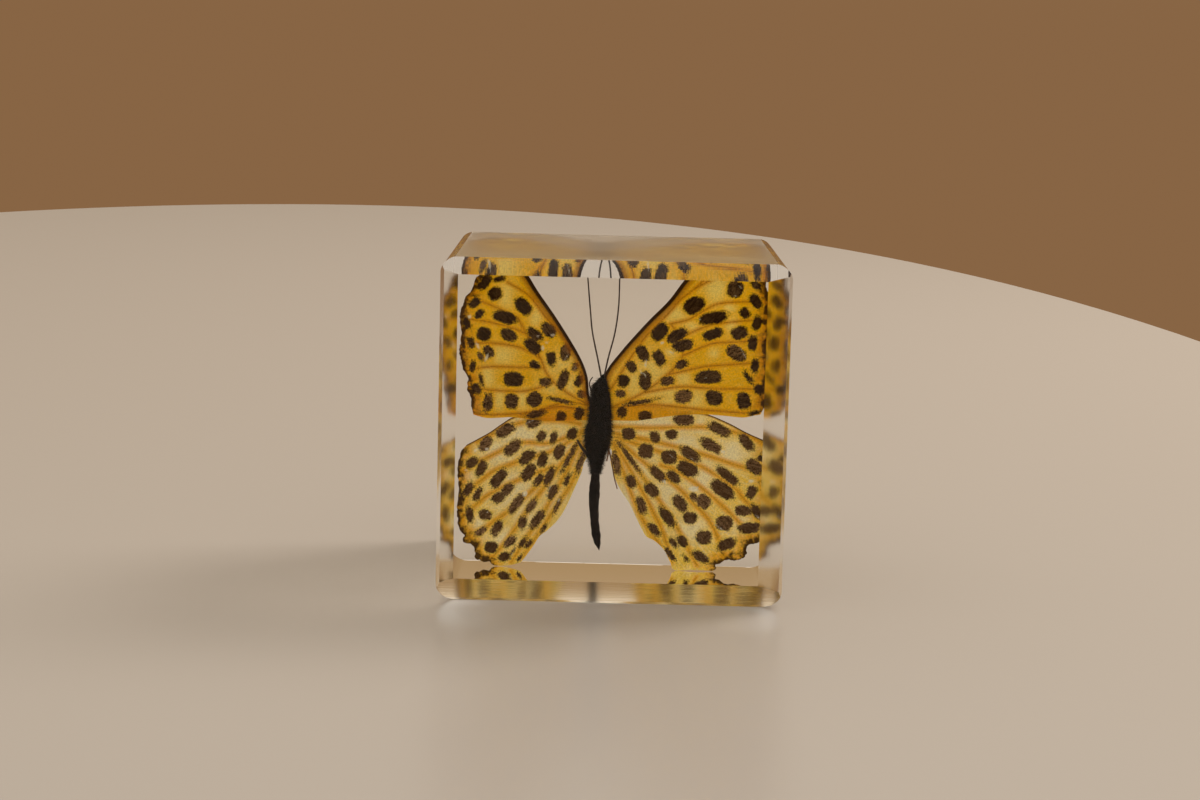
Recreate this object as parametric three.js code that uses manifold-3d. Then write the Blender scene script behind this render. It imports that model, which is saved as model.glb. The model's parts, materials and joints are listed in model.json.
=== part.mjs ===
// A butterfly cast in a clear resin block.
// Millimetres, +Z up. The block stands on its bottom face, its front looks along -Y,
// and the origin is the middle of the bottom.

import * as THREE from 'three';
import { mergeVertices } from 'three/addons/utils/BufferGeometryUtils.js';
import Module from 'manifold-3d';

const wasm = await Module();
wasm.setup();

// The block and its hand-sanded bevels
const width = 75;
const height = 75;
const depth = 70;
// Each bevel is a profile of [in from the side, back from the front].
const frontBevels = {
  top: [[3.4, 0], [0, 4.2]],
  bottom: [[5.8, 0], [0, 5.4]],
  left: [[3.9, 0], [0.9, 0.8], [0, 2.6]],
  right: [[5.4, 0], [0.8, 1.1], [0, 2.8]],
};
const backBevel = [[0.4, 0], [0, 0.4]];
// The four edges that run from front to back
const upperLongBevel = [[3, 0], [0, 3]];
const lowerLongBevel = [[3.8, 0], [0, 3.8]];
const frontCrown = 0.18; // the bevels are slightly domed
const sideCrown = 0.05;
const backCrown = 0.02;
const longCrown = 0.23; // of a long bevel's width
const crownSteps = 4;

// The two halves of the block and the pocket between them
const specimenDepth = 61; // from the front face to the wings
const partingY = specimenDepth - depth / 2;
const gap = 0.3; // left between neighbouring pieces
const clearance = 0.35; // around the butterfly

// The butterfly
const wingThickness = 0.6;
const wingLap = 0.2; // the forewings lie in front and share this much with the hindwings
const bodyRound = 0.92; // the body is a little flatter than it is wide
const bodySides = 16;
const hairSides = 6;

function solidOf(geometry) {
  geometry.deleteAttribute('normal');
  geometry.deleteAttribute('uv');
  const merged = mergeVertices(geometry, 1e-4);
  return new wasm.Manifold(new wasm.Mesh({
    numProp: 3,
    vertProperties: new Float32Array(merged.attributes.position.array),
    triVerts: new Uint32Array(merged.index.array),
  }));
}

function geometryOf(solid) {
  const mesh = solid.getMesh();
  const geometry = new THREE.BufferGeometry();
  geometry.setAttribute('position', new THREE.BufferAttribute(mesh.vertProperties, 3));
  geometry.setIndex(new THREE.BufferAttribute(mesh.triVerts, 1));
  return geometry;
}

function joined(solids) {
  return solids.reduce((all, one) => all.add(one));
}

// A rectangle seen straight on, every corner cut by a domed bevel. cuts holds a profile and its
// crown for each corner in turn. A profile starts on the edge before the corner, and its points
// are [distance along the edge before, distance along the edge after].
function bevelledRectangle(left, right, low, high, cuts) {
  const corners = [[left, low], [right, low], [right, high], [left, high]];
  return corners.flatMap(([x, y], i) => {
    const corner = new THREE.Vector2(x, y);
    const before = new THREE.Vector2(...corners[(i + 3) % 4]).sub(corner).normalize();
    const after = new THREE.Vector2(...corners[(i + 1) % 4]).sub(corner).normalize();
    const { profile, crown } = cuts[i];
    const stops = profile.map(([a, b]) => corner.clone().addScaledVector(before, a).addScaledVector(after, b));
    const stretches = stops.slice(1).flatMap((stop, k) => domedStretch(stops[k], stop, crown));
    return [...stretches, stops[stops.length - 1]];
  });
}

// The points from start up to, and not including, end
function domedStretch(start, end, crown) {
  const chord = end.clone().sub(start);
  const outward = new THREE.Vector2(chord.y, -chord.x).normalize();
  const points = [];
  for (let i = 0; i < crownSteps; i += 1) {
    const t = i / crownSteps;
    const rise = crown * 4 * t * (1 - t);
    points.push(start.clone().addScaledVector(chord, t).addScaledVector(outward, rise));
  }
  return points;
}

// The same profile met from its other end
function turned(profile) {
  return profile.map(([a, b]) => [b, a]).reverse();
}

// A straight prism on a flat outline. The outline lies in XY, and axes say where
// its own x, its own y and its length point in the block's frame.
function prism(points, from, to, axes) {
  const shape = new THREE.Shape(points);
  const geometry = new THREE.ExtrudeGeometry(shape, { depth: to - from, bevelEnabled: false });
  geometry.translate(0, 0, from);
  geometry.applyMatrix4(new THREE.Matrix4().makeBasis(...axes));
  return solidOf(geometry);
}

const alongX = new THREE.Vector3(1, 0, 0);
const alongY = new THREE.Vector3(0, 1, 0);
const alongZ = new THREE.Vector3(0, 0, 1);
const frontView = [alongX, alongZ, alongY.clone().negate()]; // its length runs towards -Y
const sideView = [alongY, alongZ, alongX];
const planView = [alongX, alongY, alongZ];

// The block is what three crossed prisms share, so its bevels meet in clean mitres.
function resinBlock() {
  const side = width / 2;
  const end = depth / 2;
  const [upper, lower] = [upperLongBevel, lowerLongBevel].map((profile) => (
    { profile, crown: longCrown * profile[0][0] }
  ));
  const back = { profile: backBevel, crown: backCrown };
  const front = bevelledRectangle(-side, side, 0, height, [lower, lower, upper, upper]);
  const fromSide = bevelledRectangle(-end, end, 0, height, [
    { profile: frontBevels.bottom, crown: frontCrown },
    back,
    back,
    { profile: turned(frontBevels.top), crown: frontCrown },
  ]);
  const fromAbove = bevelledRectangle(-side, side, -end, end, [
    { profile: turned(frontBevels.left), crown: sideCrown },
    { profile: frontBevels.right, crown: sideCrown },
    back,
    back,
  ]);
  return prism(front, -end, end, frontView)
    .intersect(prism(fromSide, -side, side, sideView))
    .intersect(prism(fromAbove, 0, height, planView));
}

// Wing outlines as seen from the front, [x, z], from the root round the tip to the root.
// lead is the front edge, margin the scalloped outer edge and trail the edge back to the body.
const wings = {
  foreLeft: {
    lead: [
      [-3, 38], [-5.2, 40], [-6, 45.2], [-8.2, 50.2], [-13.2, 58], [-17.6, 64.1], [-20, 67.8],
      [-22.4, 70.5], [-25.6, 71.3],
    ],
    margin: [
      [-28.3, 70.6], [-31.2, 67.4], [-33.5, 63.2], [-35, 60], [-35.1, 54], [-34.9, 47.5],
      [-33.5, 44.3], [-32.6, 38.5],
    ],
    trail: [[-31.9, 35.4], [-28.8, 34.7], [-22.6, 35], [-15.5, 34.4], [-3, 34.8]],
    scallops: 7,
    scallopDepth: 0.4,
  },
  hindLeft: {
    lead: [
      [-3, 35.5], [-8.5, 37.6], [-12.5, 37.8], [-16.5, 37.1], [-22.5, 35.1], [-28, 31.4],
      [-33.3, 28.3],
    ],
    margin: [
      [-34.5, 26.8], [-35.1, 22], [-35.1, 15], [-34.9, 9.5], [-33.3, 6.8], [-31.2, 4.4],
      [-30.2, 1.8], [-26.5, 1.3],
    ],
    trail: [
      [-22.5, 1.3], [-19.9, 2], [-17.5, 5], [-14.3, 8.9], [-10.3, 14], [-6.8, 22.5], [-5.8, 27],
      [-3, 29],
    ],
    scallops: 7,
    scallopDepth: 0.4,
  },
  foreRight: {
    lead: [
      [-2.4, 40], [-1.9, 45.6], [2, 51.3], [7.5, 57.8], [12.2, 62.8], [16, 68], [19.5, 70.9],
      [24.5, 71.9],
    ],
    margin: [[30.5, 71.2], [34, 68.5], [35, 64], [35.2, 59], [35, 54], [35.2, 47], [35, 40]],
    trail: [[33.9, 37], [30, 36.3], [23.5, 36.8], [14, 36.3], [8.5, 35.4], [-2.4, 34.9]],
    scallops: 7,
    scallopDepth: 0.3,
  },
  hindRight: {
    lead: [[-2.4, 36], [4, 38.4], [10.4, 38.6], [18.5, 37.5], [22.5, 36.6], [31, 32.8], [35, 31]],
    margin: [
      [35.9, 27], [36, 21], [36, 14], [35.3, 7.6], [32.1, 6.4], [30.8, 3.4], [26.5, 2.4],
      [24.3, 1.3],
    ],
    trail: [
      [19.5, 1.3], [15, 1.6], [12.8, 4.8], [10.7, 6.9], [8.2, 8.6], [4.5, 15.6], [1.1, 21.2],
      [-0.1, 25], [-2.4, 29],
    ],
    scallops: 7,
    scallopDepth: 0.4,
  },
};
const stepsPerEdge = 18;
const stepsPerScallop = 5;

function smooth(points, steps) {
  const curve = new THREE.SplineCurve(points.map(([x, z]) => new THREE.Vector2(x, z)));
  return curve.getPoints(steps);
}

// The margin is scooped inwards between the vein ends by the depth given.
function scooped(points, scallops, scoop) {
  return points.map((point, i) => {
    const t = i / (points.length - 1);
    const before = points[Math.max(i - 1, 0)];
    const after = points[Math.min(i + 1, points.length - 1)];
    const run = after.clone().sub(before).normalize();
    const inward = new THREE.Vector2(-run.y, run.x);
    const wave = Math.sin(Math.PI * scallops * t) ** 2;
    return point.clone().addScaledVector(inward, scoop * wave);
  });
}

function wingOutline(wing, scoop) {
  const margin = smooth(wing.margin, wing.scallops * stepsPerScallop);
  const isLeft = wing.margin[0][0] < 0;
  const edge = scooped(margin, wing.scallops, isLeft ? scoop : -scoop);
  return [...smooth(wing.lead, stepsPerEdge), ...edge, ...smooth(wing.trail, stepsPerEdge)];
}

// The outline moved outwards by a constant distance
function grown(points, distance) {
  const area = THREE.ShapeUtils.area(points);
  return points.map((point, i) => {
    const before = points[(i + points.length - 1) % points.length];
    const after = points[(i + 1) % points.length];
    const into = point.clone().sub(before).normalize();
    const out = after.clone().sub(point).normalize();
    const bisector = into.add(out).normalize();
    const outward = new THREE.Vector2(bisector.y, -bisector.x).multiplyScalar(Math.sign(area));
    const stretch = 1 / Math.max(Math.abs(outward.dot(new THREE.Vector2(out.y, -out.x))), 0.5);
    return point.clone().addScaledVector(outward, distance * stretch);
  });
}

// A wing is a flat plate between two depths. The prism's length runs towards -Y.
function plate(points, nearY, farY) {
  return prism(points, -farY, -nearY, frontView);
}

const foreY = { near: partingY - wingThickness + wingLap / 2, far: partingY + wingLap / 2 };
const hindY = { near: partingY - wingLap / 2, far: partingY + wingThickness - wingLap / 2 };

function wingPlate(name) {
  const wing = wings[name];
  const layer = name.startsWith('fore') ? foreY : hindY;
  return plate(wingOutline(wing, wing.scallopDepth), layer.near, layer.far);
}

function wingPocket(name) {
  const points = grown(wingOutline(wings[name], 0), clearance);
  return plate(points, foreY.near - clearance, hindY.far + clearance);
}

// Body sections from the tip of the abdomen to the top of the head: [z, middle x, half width]
const bodySections = [
  [4.3, -2.2, 0], [6, -2.6, 0.75], [8, -3, 1.1], [10, -3.3, 1], [12, -3.5, 1], [15, -3.7, 1.15],
  [18, -3.6, 1.3], [20, -3.6, 1.2], [22.5, -3.5, 0.95], [25, -3.4, 1.6], [27, -3.5, 2.1],
  [29, -3.3, 2.8], [31, -3.1, 3.1], [33, -3, 3], [35, -2.8, 2.6], [38, -2.8, 2.5], [40, -2.8, 2.3],
  [41.5, -2.9, 2], [43, -2.9, 1.7], [44, -2.5, 1], [45, -2.4, 0.5], [45.6, -2.3, 0],
];

function middleAt(z) {
  const above = Math.max(1, bodySections.findIndex(([level]) => level >= z - 1e-6));
  const [z0, x0] = bodySections[above - 1];
  const [z1, x1] = bodySections[above];
  return THREE.MathUtils.mapLinear(z, z0, z1, x0, x1);
}

// Thorax, head and abdomen: a turned shape, flattened and leant along its middle line
function bodySolid(extra) {
  const ends = bodySections.length - 1;
  const profile = bodySections.map(([z, , half], i) => new THREE.Vector2(i % ends === 0 ? 0 : half + extra, z));
  profile[0].y -= extra;
  profile[ends].y += extra;
  const geometry = new THREE.LatheGeometry(profile, bodySides);
  geometry.rotateX(Math.PI / 2);
  const place = geometry.attributes.position;
  for (let i = 0; i < place.count; i += 1) {
    const z = THREE.MathUtils.clamp(place.getZ(i), bodySections[0][0], bodySections[ends][0]);
    place.setX(i, place.getX(i) + middleAt(z));
    place.setY(i, partingY + place.getY(i) * bodyRound);
  }
  return solidOf(geometry);
}

// Feelers and the legs that show beside the body: a middle line [x, z] and a radius
const thinParts = [
  { path: [[-2.7, 44.6], [-3.6, 48.8], [-5, 55], [-5.6, 60], [-6.4, 67.8], [-6.7, 70.6]], radius: 0.25 },
  { path: [[-2.1, 44.8], [-1.2, 49.5], [0.1, 55], [0.8, 61], [0.9, 68], [0.9, 70.7]], radius: 0.25 },
  { path: [[-4.5, 26], [-6, 27.3], [-7.9, 30.1]], radius: 0.4 },
  { path: [[-4.4, 40], [-5.4, 43.1], [-4.7, 44.8]], radius: 0.25 },
  { path: [[-0.8, 30.5], [-0.6, 28], [-1, 25.3]], radius: 0.3 },
  { path: [[-0.7, 28.5], [0.2, 25], [1.6, 18.9]], radius: 0.2 },
];
const thinSteps = 12;
const club = { length: 2.2, radius: 0.5 }; // the knob at a feeler's end
const feelers = 2;

function thinPart({ path, radius }, extra) {
  const curve = new THREE.CatmullRomCurve3(path.map(([x, z]) => new THREE.Vector3(x, partingY, z)));
  const section = new THREE.Shape();
  section.absarc(0, 0, radius + extra, 0, 2 * Math.PI);
  const geometry = new THREE.ExtrudeGeometry(section, {
    steps: thinSteps,
    curveSegments: hairSides,
    extrudePath: curve,
    bevelEnabled: false,
  });
  return solidOf(geometry);
}

function clubSolid({ path }, extra) {
  const [x, z] = path[path.length - 1];
  const geometry = new THREE.SphereGeometry(1, 8, 8);
  geometry.rotateX(Math.PI / 2);
  geometry.scale(club.radius + extra, club.radius + extra, club.length / 2 + extra);
  geometry.translate(x, partingY, z);
  return solidOf(geometry);
}

function bodyAndLimbs(extra) {
  return joined([
    bodySolid(extra),
    ...thinParts.map((part) => thinPart(part, extra)),
    ...thinParts.slice(0, feelers).map((part) => clubSolid(part, extra)),
  ]);
}

const wingNames = Object.keys(wings);
const butterfly = joined([...wingNames.map(wingPlate), bodyAndLimbs(0)]);
const pocket = joined([...wingNames.map(wingPocket), bodyAndLimbs(clearance)]);

// One half of the block, from one depth to another, with the pocket taken out
function resinHalf(nearY, farY) {
  const side = width;
  const face = [[-side, -height], [side, -height], [side, 2 * height], [-side, 2 * height]];
  const slab = plate(face.map(([x, z]) => new THREE.Vector2(x, z)), nearY, farY);
  return resinBlock().intersect(slab).subtract(pocket);
}

const clearResin = { color: 0xf1e8d6, roughness: 0.04, metalness: 0 };
const wingsAndBody = { color: 0xb98a2c, roughness: 0.7, metalness: 0 };

function piece(name, solid, finish) {
  const mesh = new THREE.Mesh(geometryOf(solid), new THREE.MeshStandardMaterial(finish));
  mesh.name = name;
  return mesh;
}

const group = new THREE.Group();
group.name = 'butterfly_in_resin';
group.add(piece('resin_front', resinHalf(-depth, partingY - gap / 2), clearResin));
group.add(piece('resin_back', resinHalf(partingY + gap / 2, depth), clearResin));
group.add(piece('butterfly', butterfly, wingsAndBody));

export default group;
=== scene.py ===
import json
import math
import random

import bmesh
import bpy
import numpy as np
from mathutils import Matrix, Vector, noise
from mathutils.geometry import delaunay_2d_cdt

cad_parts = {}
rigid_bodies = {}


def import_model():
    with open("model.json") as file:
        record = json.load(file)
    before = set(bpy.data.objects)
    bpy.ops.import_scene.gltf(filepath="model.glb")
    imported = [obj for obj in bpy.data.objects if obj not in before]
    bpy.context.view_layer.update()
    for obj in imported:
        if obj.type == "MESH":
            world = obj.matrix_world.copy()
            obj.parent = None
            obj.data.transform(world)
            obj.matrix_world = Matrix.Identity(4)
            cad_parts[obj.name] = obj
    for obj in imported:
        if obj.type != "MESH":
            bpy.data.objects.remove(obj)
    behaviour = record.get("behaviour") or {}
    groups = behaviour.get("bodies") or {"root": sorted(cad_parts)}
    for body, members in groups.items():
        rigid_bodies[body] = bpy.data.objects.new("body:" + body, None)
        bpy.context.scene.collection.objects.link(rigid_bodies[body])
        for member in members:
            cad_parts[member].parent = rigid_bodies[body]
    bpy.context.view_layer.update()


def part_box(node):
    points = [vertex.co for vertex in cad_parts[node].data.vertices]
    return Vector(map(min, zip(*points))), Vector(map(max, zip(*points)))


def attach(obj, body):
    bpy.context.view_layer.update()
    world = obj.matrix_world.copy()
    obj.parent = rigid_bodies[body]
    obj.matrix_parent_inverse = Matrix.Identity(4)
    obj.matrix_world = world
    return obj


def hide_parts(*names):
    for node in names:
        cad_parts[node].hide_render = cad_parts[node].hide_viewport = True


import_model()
mm = 0.001

# the block and the wings' plane, read from the frame
frontLow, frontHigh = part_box("resin_front")
backLow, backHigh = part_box("resin_back")
blockLeft, blockRight = frontLow.x, frontHigh.x
blockFront, blockBack = frontLow.y, backHigh.y
blockTop = frontHigh.z
wingY = (frontHigh.y + backLow.y) / 2
print("frame loaded, wings at", round(wingY / mm, 2), "mm")


def newMesh(name, vertices, faces, smooth=True):
    mesh = bpy.data.meshes.new(name)
    mesh.from_pydata([tuple(v) for v in vertices], [], faces)
    mesh.polygons.foreach_set("use_smooth", [smooth] * len(mesh.polygons))
    mesh.update()
    piece = bpy.data.objects.new(name, mesh)
    bpy.context.scene.collection.objects.link(piece)
    return piece


def addNode(tree, kind, settings=None, sockets=None):
    node = tree.nodes.new(kind)
    for key, value in (settings or {}).items():
        setattr(node, key, value)
    for key, value in (sockets or {}).items():
        node.inputs[key].default_value = value
    return node


def newMaterial(name):
    material = bpy.data.materials.new(name)
    material.use_nodes = True
    tree = material.node_tree
    shader = tree.nodes["Principled BSDF"]
    return material, tree, shader


def mathNode(tree, operation, first, second=0.0, clamp=False):
    node = addNode(tree, "ShaderNodeMath", {"operation": operation, "use_clamp": clamp})
    for socket, value in zip(node.inputs, (first, second)):
        if isinstance(value, (int, float)):
            socket.default_value = value
        else:
            tree.links.new(value, socket)
    return node.outputs[0]


def plus(tree, first, second, clamp=False):
    return mathNode(tree, "ADD", first, second, clamp)


def times(tree, first, second, clamp=False):
    return mathNode(tree, "MULTIPLY", first, second, clamp)


def rangeNode(tree, value, low, high, toLow=0.0, toHigh=1.0):
    node = addNode(tree, "ShaderNodeMapRange", {"interpolation_type": "SMOOTHSTEP"})
    for socket, number in zip(node.inputs[1:5], (low, high, toLow, toHigh)):
        socket.default_value = number
    tree.links.new(value, node.inputs[0])
    return node.outputs[0]


def mixColour(tree, factor, first, second, blend="MIX"):
    node = addNode(tree, "ShaderNodeMix", {"data_type": "RGBA", "blend_type": blend})
    for socket, value in ((node.inputs[0], factor), (node.inputs[6], first), (node.inputs[7], second)):
        if isinstance(value, (int, float, tuple)):
            socket.default_value = value
        else:
            tree.links.new(value, socket)
    return node.outputs[2]


def noiseNode(tree, coordinate, scale, detail=3.0, roughness=0.55):
    sockets = {"Scale": scale, "Detail": detail, "Roughness": roughness}
    node = addNode(tree, "ShaderNodeTexNoise", None, sockets)
    tree.links.new(coordinate, node.inputs["Vector"])
    return node.outputs[0]


def attributeNode(tree, name):
    return addNode(tree, "ShaderNodeAttribute", {"attribute_name": name}).outputs["Fac"]


def objectPlace(tree):
    return addNode(tree, "ShaderNodeTexCoord").outputs["Object"]


def addBump(tree, shader, height, strength, depth):
    # depth is in mm
    bump = addNode(tree, "ShaderNodeBump", None, {"Strength": strength, "Distance": depth * mm})
    tree.links.new(height, bump.inputs["Height"])
    tree.links.new(bump.outputs[0], shader.inputs["Normal"])


cameraView = {
    "place": (-2.9, -560, 123.1),  # mm
    "pitch": 8.41,  # degrees down
    "roll": 1.46,  # degrees, the camera leans a little
    "lens": 74.7,  # mm
    "sensor": 36,  # mm
    "reach": 50,  # m, the farthest thing it sees
}


def makeCamera():
    data = bpy.data.cameras.new("camera")
    data.lens = cameraView["lens"]
    data.sensor_width = cameraView["sensor"]
    data.clip_end = cameraView["reach"]
    camera = bpy.data.objects.new("camera", data)
    bpy.context.scene.collection.objects.link(camera)
    tilt = Matrix.Rotation(math.radians(90 - cameraView["pitch"]), 4, "X")
    roll = Matrix.Rotation(math.radians(cameraView["roll"]), 4, "Z")
    camera.matrix_world = Matrix.Translation(Vector(cameraView["place"]) * mm) @ tilt @ roll
    bpy.context.scene.camera = camera


resin = {
    # each edge's profile: (in from one face, in from the other) in mm, and for a front edge
    # (in from the side, back from the front)
    "frontEdges": {
        "top": [(3.4, 0), (0, 4.2)],
        "bottom": [(5.8, 0), (0.7, 4.4), (0, 5.4)],
        "left": [(3.9, 0), (0.9, 0.8), (0, 2.6)],
        "right": [(5.4, 0), (0.8, 1.1), (0, 2.8)],
    },
    "backEdge": [(0.05, 0), (0, 0.05)],
    "longEdges": {"top": [(3, 0), (0, 3)], "bottom": [(3.8, 0), (0, 3.8)]},
    "frontCrown": 0.18,  # mm that a profile bulges at the top and bottom of the front
    "longCrown": 0.23,  # of a long edge's width
    "crownSteps": 12,
    "sharpAngle": 6.0,  # degrees, above which two faces meet in a crisp line
    "flatness": 0.999,  # a face whose normal is this close to an axis isn't part of an edge
    "ior": 1.5,
    "tint": (0.985, 0.972, 0.94, 1),
    "mirrorTint": (0.35, 0.34, 0.33, 1),
    # each finish: strength of its ripples, ripples per metre along x, y and z, and roughness
    "finishes": {
        "polishedResin": (0, (1, 1, 1), 0),
        "softTop": (0.2, (260, 780, 260), 0.28),
        "scouredBevel": (0.35, (10.4, 2600, 2600), 0.17),
        "wavyBevel": (0.6, (312, 312, 104), 0.16),
    },
    "rippleDepth": 0.1,  # mm
    "weld": 1e-7,  # m, points nearer to each other are one
}


def cutBlock(shape, point, normal):
    # takes away what lies beyond a plane and closes the block there with a flat face
    geometry = shape.verts[:] + shape.edges[:] + shape.faces[:]
    cut = bmesh.ops.bisect_plane(
        shape, geom=geometry, plane_co=point, plane_no=normal, clear_outer=True, dist=resin["weld"]
    )
    rim = [part for part in cut["geom_cut"] if isinstance(part, bmesh.types.BMEdge)]
    if rim:
        bmesh.ops.contextual_create(shape, geom=rim)


def sandStretch(shape, start, end, along, outward, crown):
    # one stretch of an edge's profile, bulging by crown between start and end
    steps = resin["crownSteps"] if crown else 1
    points = []
    for i in range(steps + 1):
        t = i / steps
        points.append(start + (end - start) * t + outward * (crown * mm * 4 * t * (1 - t)))
    for low, high in zip(points, points[1:]):
        normal = (high - low).cross(along).normalized()
        if normal.dot(outward) < 0:
            normal = -normal
        cutBlock(shape, (low + high) / 2, normal)


def sandEdge(shape, corner, inWay, backWay, along, profile, crown=0):
    # corner is a point of the square edge, and inWay and backWay lead from it along the two faces;
    # a shorter stretch bulges less, so that the profile stays convex
    whole = lineLength(profile)
    for near, far in zip(profile, profile[1:]):
        bulge = crown * (lineLength([near, far]) / whole) ** 2
        start = corner + inWay * near[0] * mm + backWay * near[1] * mm
        end = corner + inWay * far[0] * mm + backWay * far[1] * mm
        outward = (end - start).cross(along).normalized()
        if outward.dot(inWay + backWay) > 0:
            outward = -outward
        sandStretch(shape, start, end, along, outward, bulge)


def sandAllEdges(shape):
    wayX, wayY, wayZ = Vector((1, 0, 0)), Vector((0, 1, 0)), Vector((0, 0, 1))
    front, back = resin["frontEdges"], resin["backEdge"]
    for x, inX in ((blockLeft, wayX), (blockRight, -wayX)):
        for side, z, inZ in (("bottom", 0, wayZ), ("top", blockTop, -wayZ)):
            profile = resin["longEdges"][side]
            crown = resin["longCrown"] * profile[0][0]
            sandEdge(shape, Vector((x, 0, z)), inX, inZ, wayY, profile, crown)
    for side, z, inZ in (("top", blockTop, -wayZ), ("bottom", 0, wayZ)):
        sandEdge(shape, Vector((0, blockFront, z)), inZ, wayY, wayX, front[side], resin["frontCrown"])
        sandEdge(shape, Vector((0, blockBack, z)), inZ, -wayY, wayX, back)
    for side, x, inX in (("left", blockLeft, wayX), ("right", blockRight, -wayX)):
        sandEdge(shape, Vector((x, blockFront, 0)), inX, wayY, wayZ, front[side])
        sandEdge(shape, Vector((x, blockBack, 0)), inX, -wayY, wayZ, back)


def resinFinishOf(normal):
    if normal.z > resin["flatness"]:
        return "softTop"
    sideOrBack = normal.y > -0.05  # only the front's bevels lean forwards
    if sideOrBack or normal.y < -resin["flatness"] or normal.z > abs(normal.x):
        return "polishedResin"
    return "scouredBevel" if -normal.z > abs(normal.x) else "wavyBevel"


def makeResinBlock():
    shape = bmesh.new()
    bmesh.ops.create_cube(shape, size=1)
    size = Vector((blockRight - blockLeft, blockBack - blockFront, blockTop))
    bmesh.ops.scale(shape, vec=size, verts=shape.verts)
    middle = (0, (blockFront + blockBack) / 2, blockTop / 2)
    bmesh.ops.translate(shape, vec=middle, verts=shape.verts)
    sandAllEdges(shape)
    bmesh.ops.dissolve_degenerate(shape, dist=resin["weld"], edges=shape.edges)
    bmesh.ops.recalc_face_normals(shape, faces=shape.faces[:])
    finishNames = list(resin["finishes"])
    for face in shape.faces:
        face.smooth = True
        face.material_index = finishNames.index(resinFinishOf(face.normal))
    for edge in shape.edges:
        if len(edge.link_faces) == 2:
            turn = edge.link_faces[0].normal.angle(edge.link_faces[1].normal)
            edge.smooth = turn < math.radians(resin["sharpAngle"])
    mesh = bpy.data.meshes.new("resin_block")
    shape.to_mesh(mesh)
    shape.free()
    block = bpy.data.objects.new("resin_block", mesh)
    bpy.context.scene.collection.objects.link(block)
    for name in finishNames:
        mesh.materials.append(resinMaterial(name))
    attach(block, "root")
    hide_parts("resin_front", "resin_back")
    print("resin block:", len(mesh.polygons), "faces")


def resinMaterial(name):
    ripple, scale, roughness = resin["finishes"][name]
    material, tree, shader = newMaterial(name)
    shader.inputs["Base Color"].default_value = resin["tint"]
    shader.inputs["Roughness"].default_value = roughness
    shader.inputs["IOR"].default_value = resin["ior"]
    shader.inputs["Specular Tint"].default_value = resin["mirrorTint"]
    shader.inputs["Transmission Weight"].default_value = 1.0
    if ripple:
        stretch = addNode(tree, "ShaderNodeMapping", None, {"Scale": scale})
        tree.links.new(objectPlace(tree), stretch.inputs["Vector"])
        lines = noiseNode(tree, stretch.outputs[0], 1.0, 2.0)
        addBump(tree, shader, lines, ripple, resin["rippleDepth"])
    return material


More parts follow.
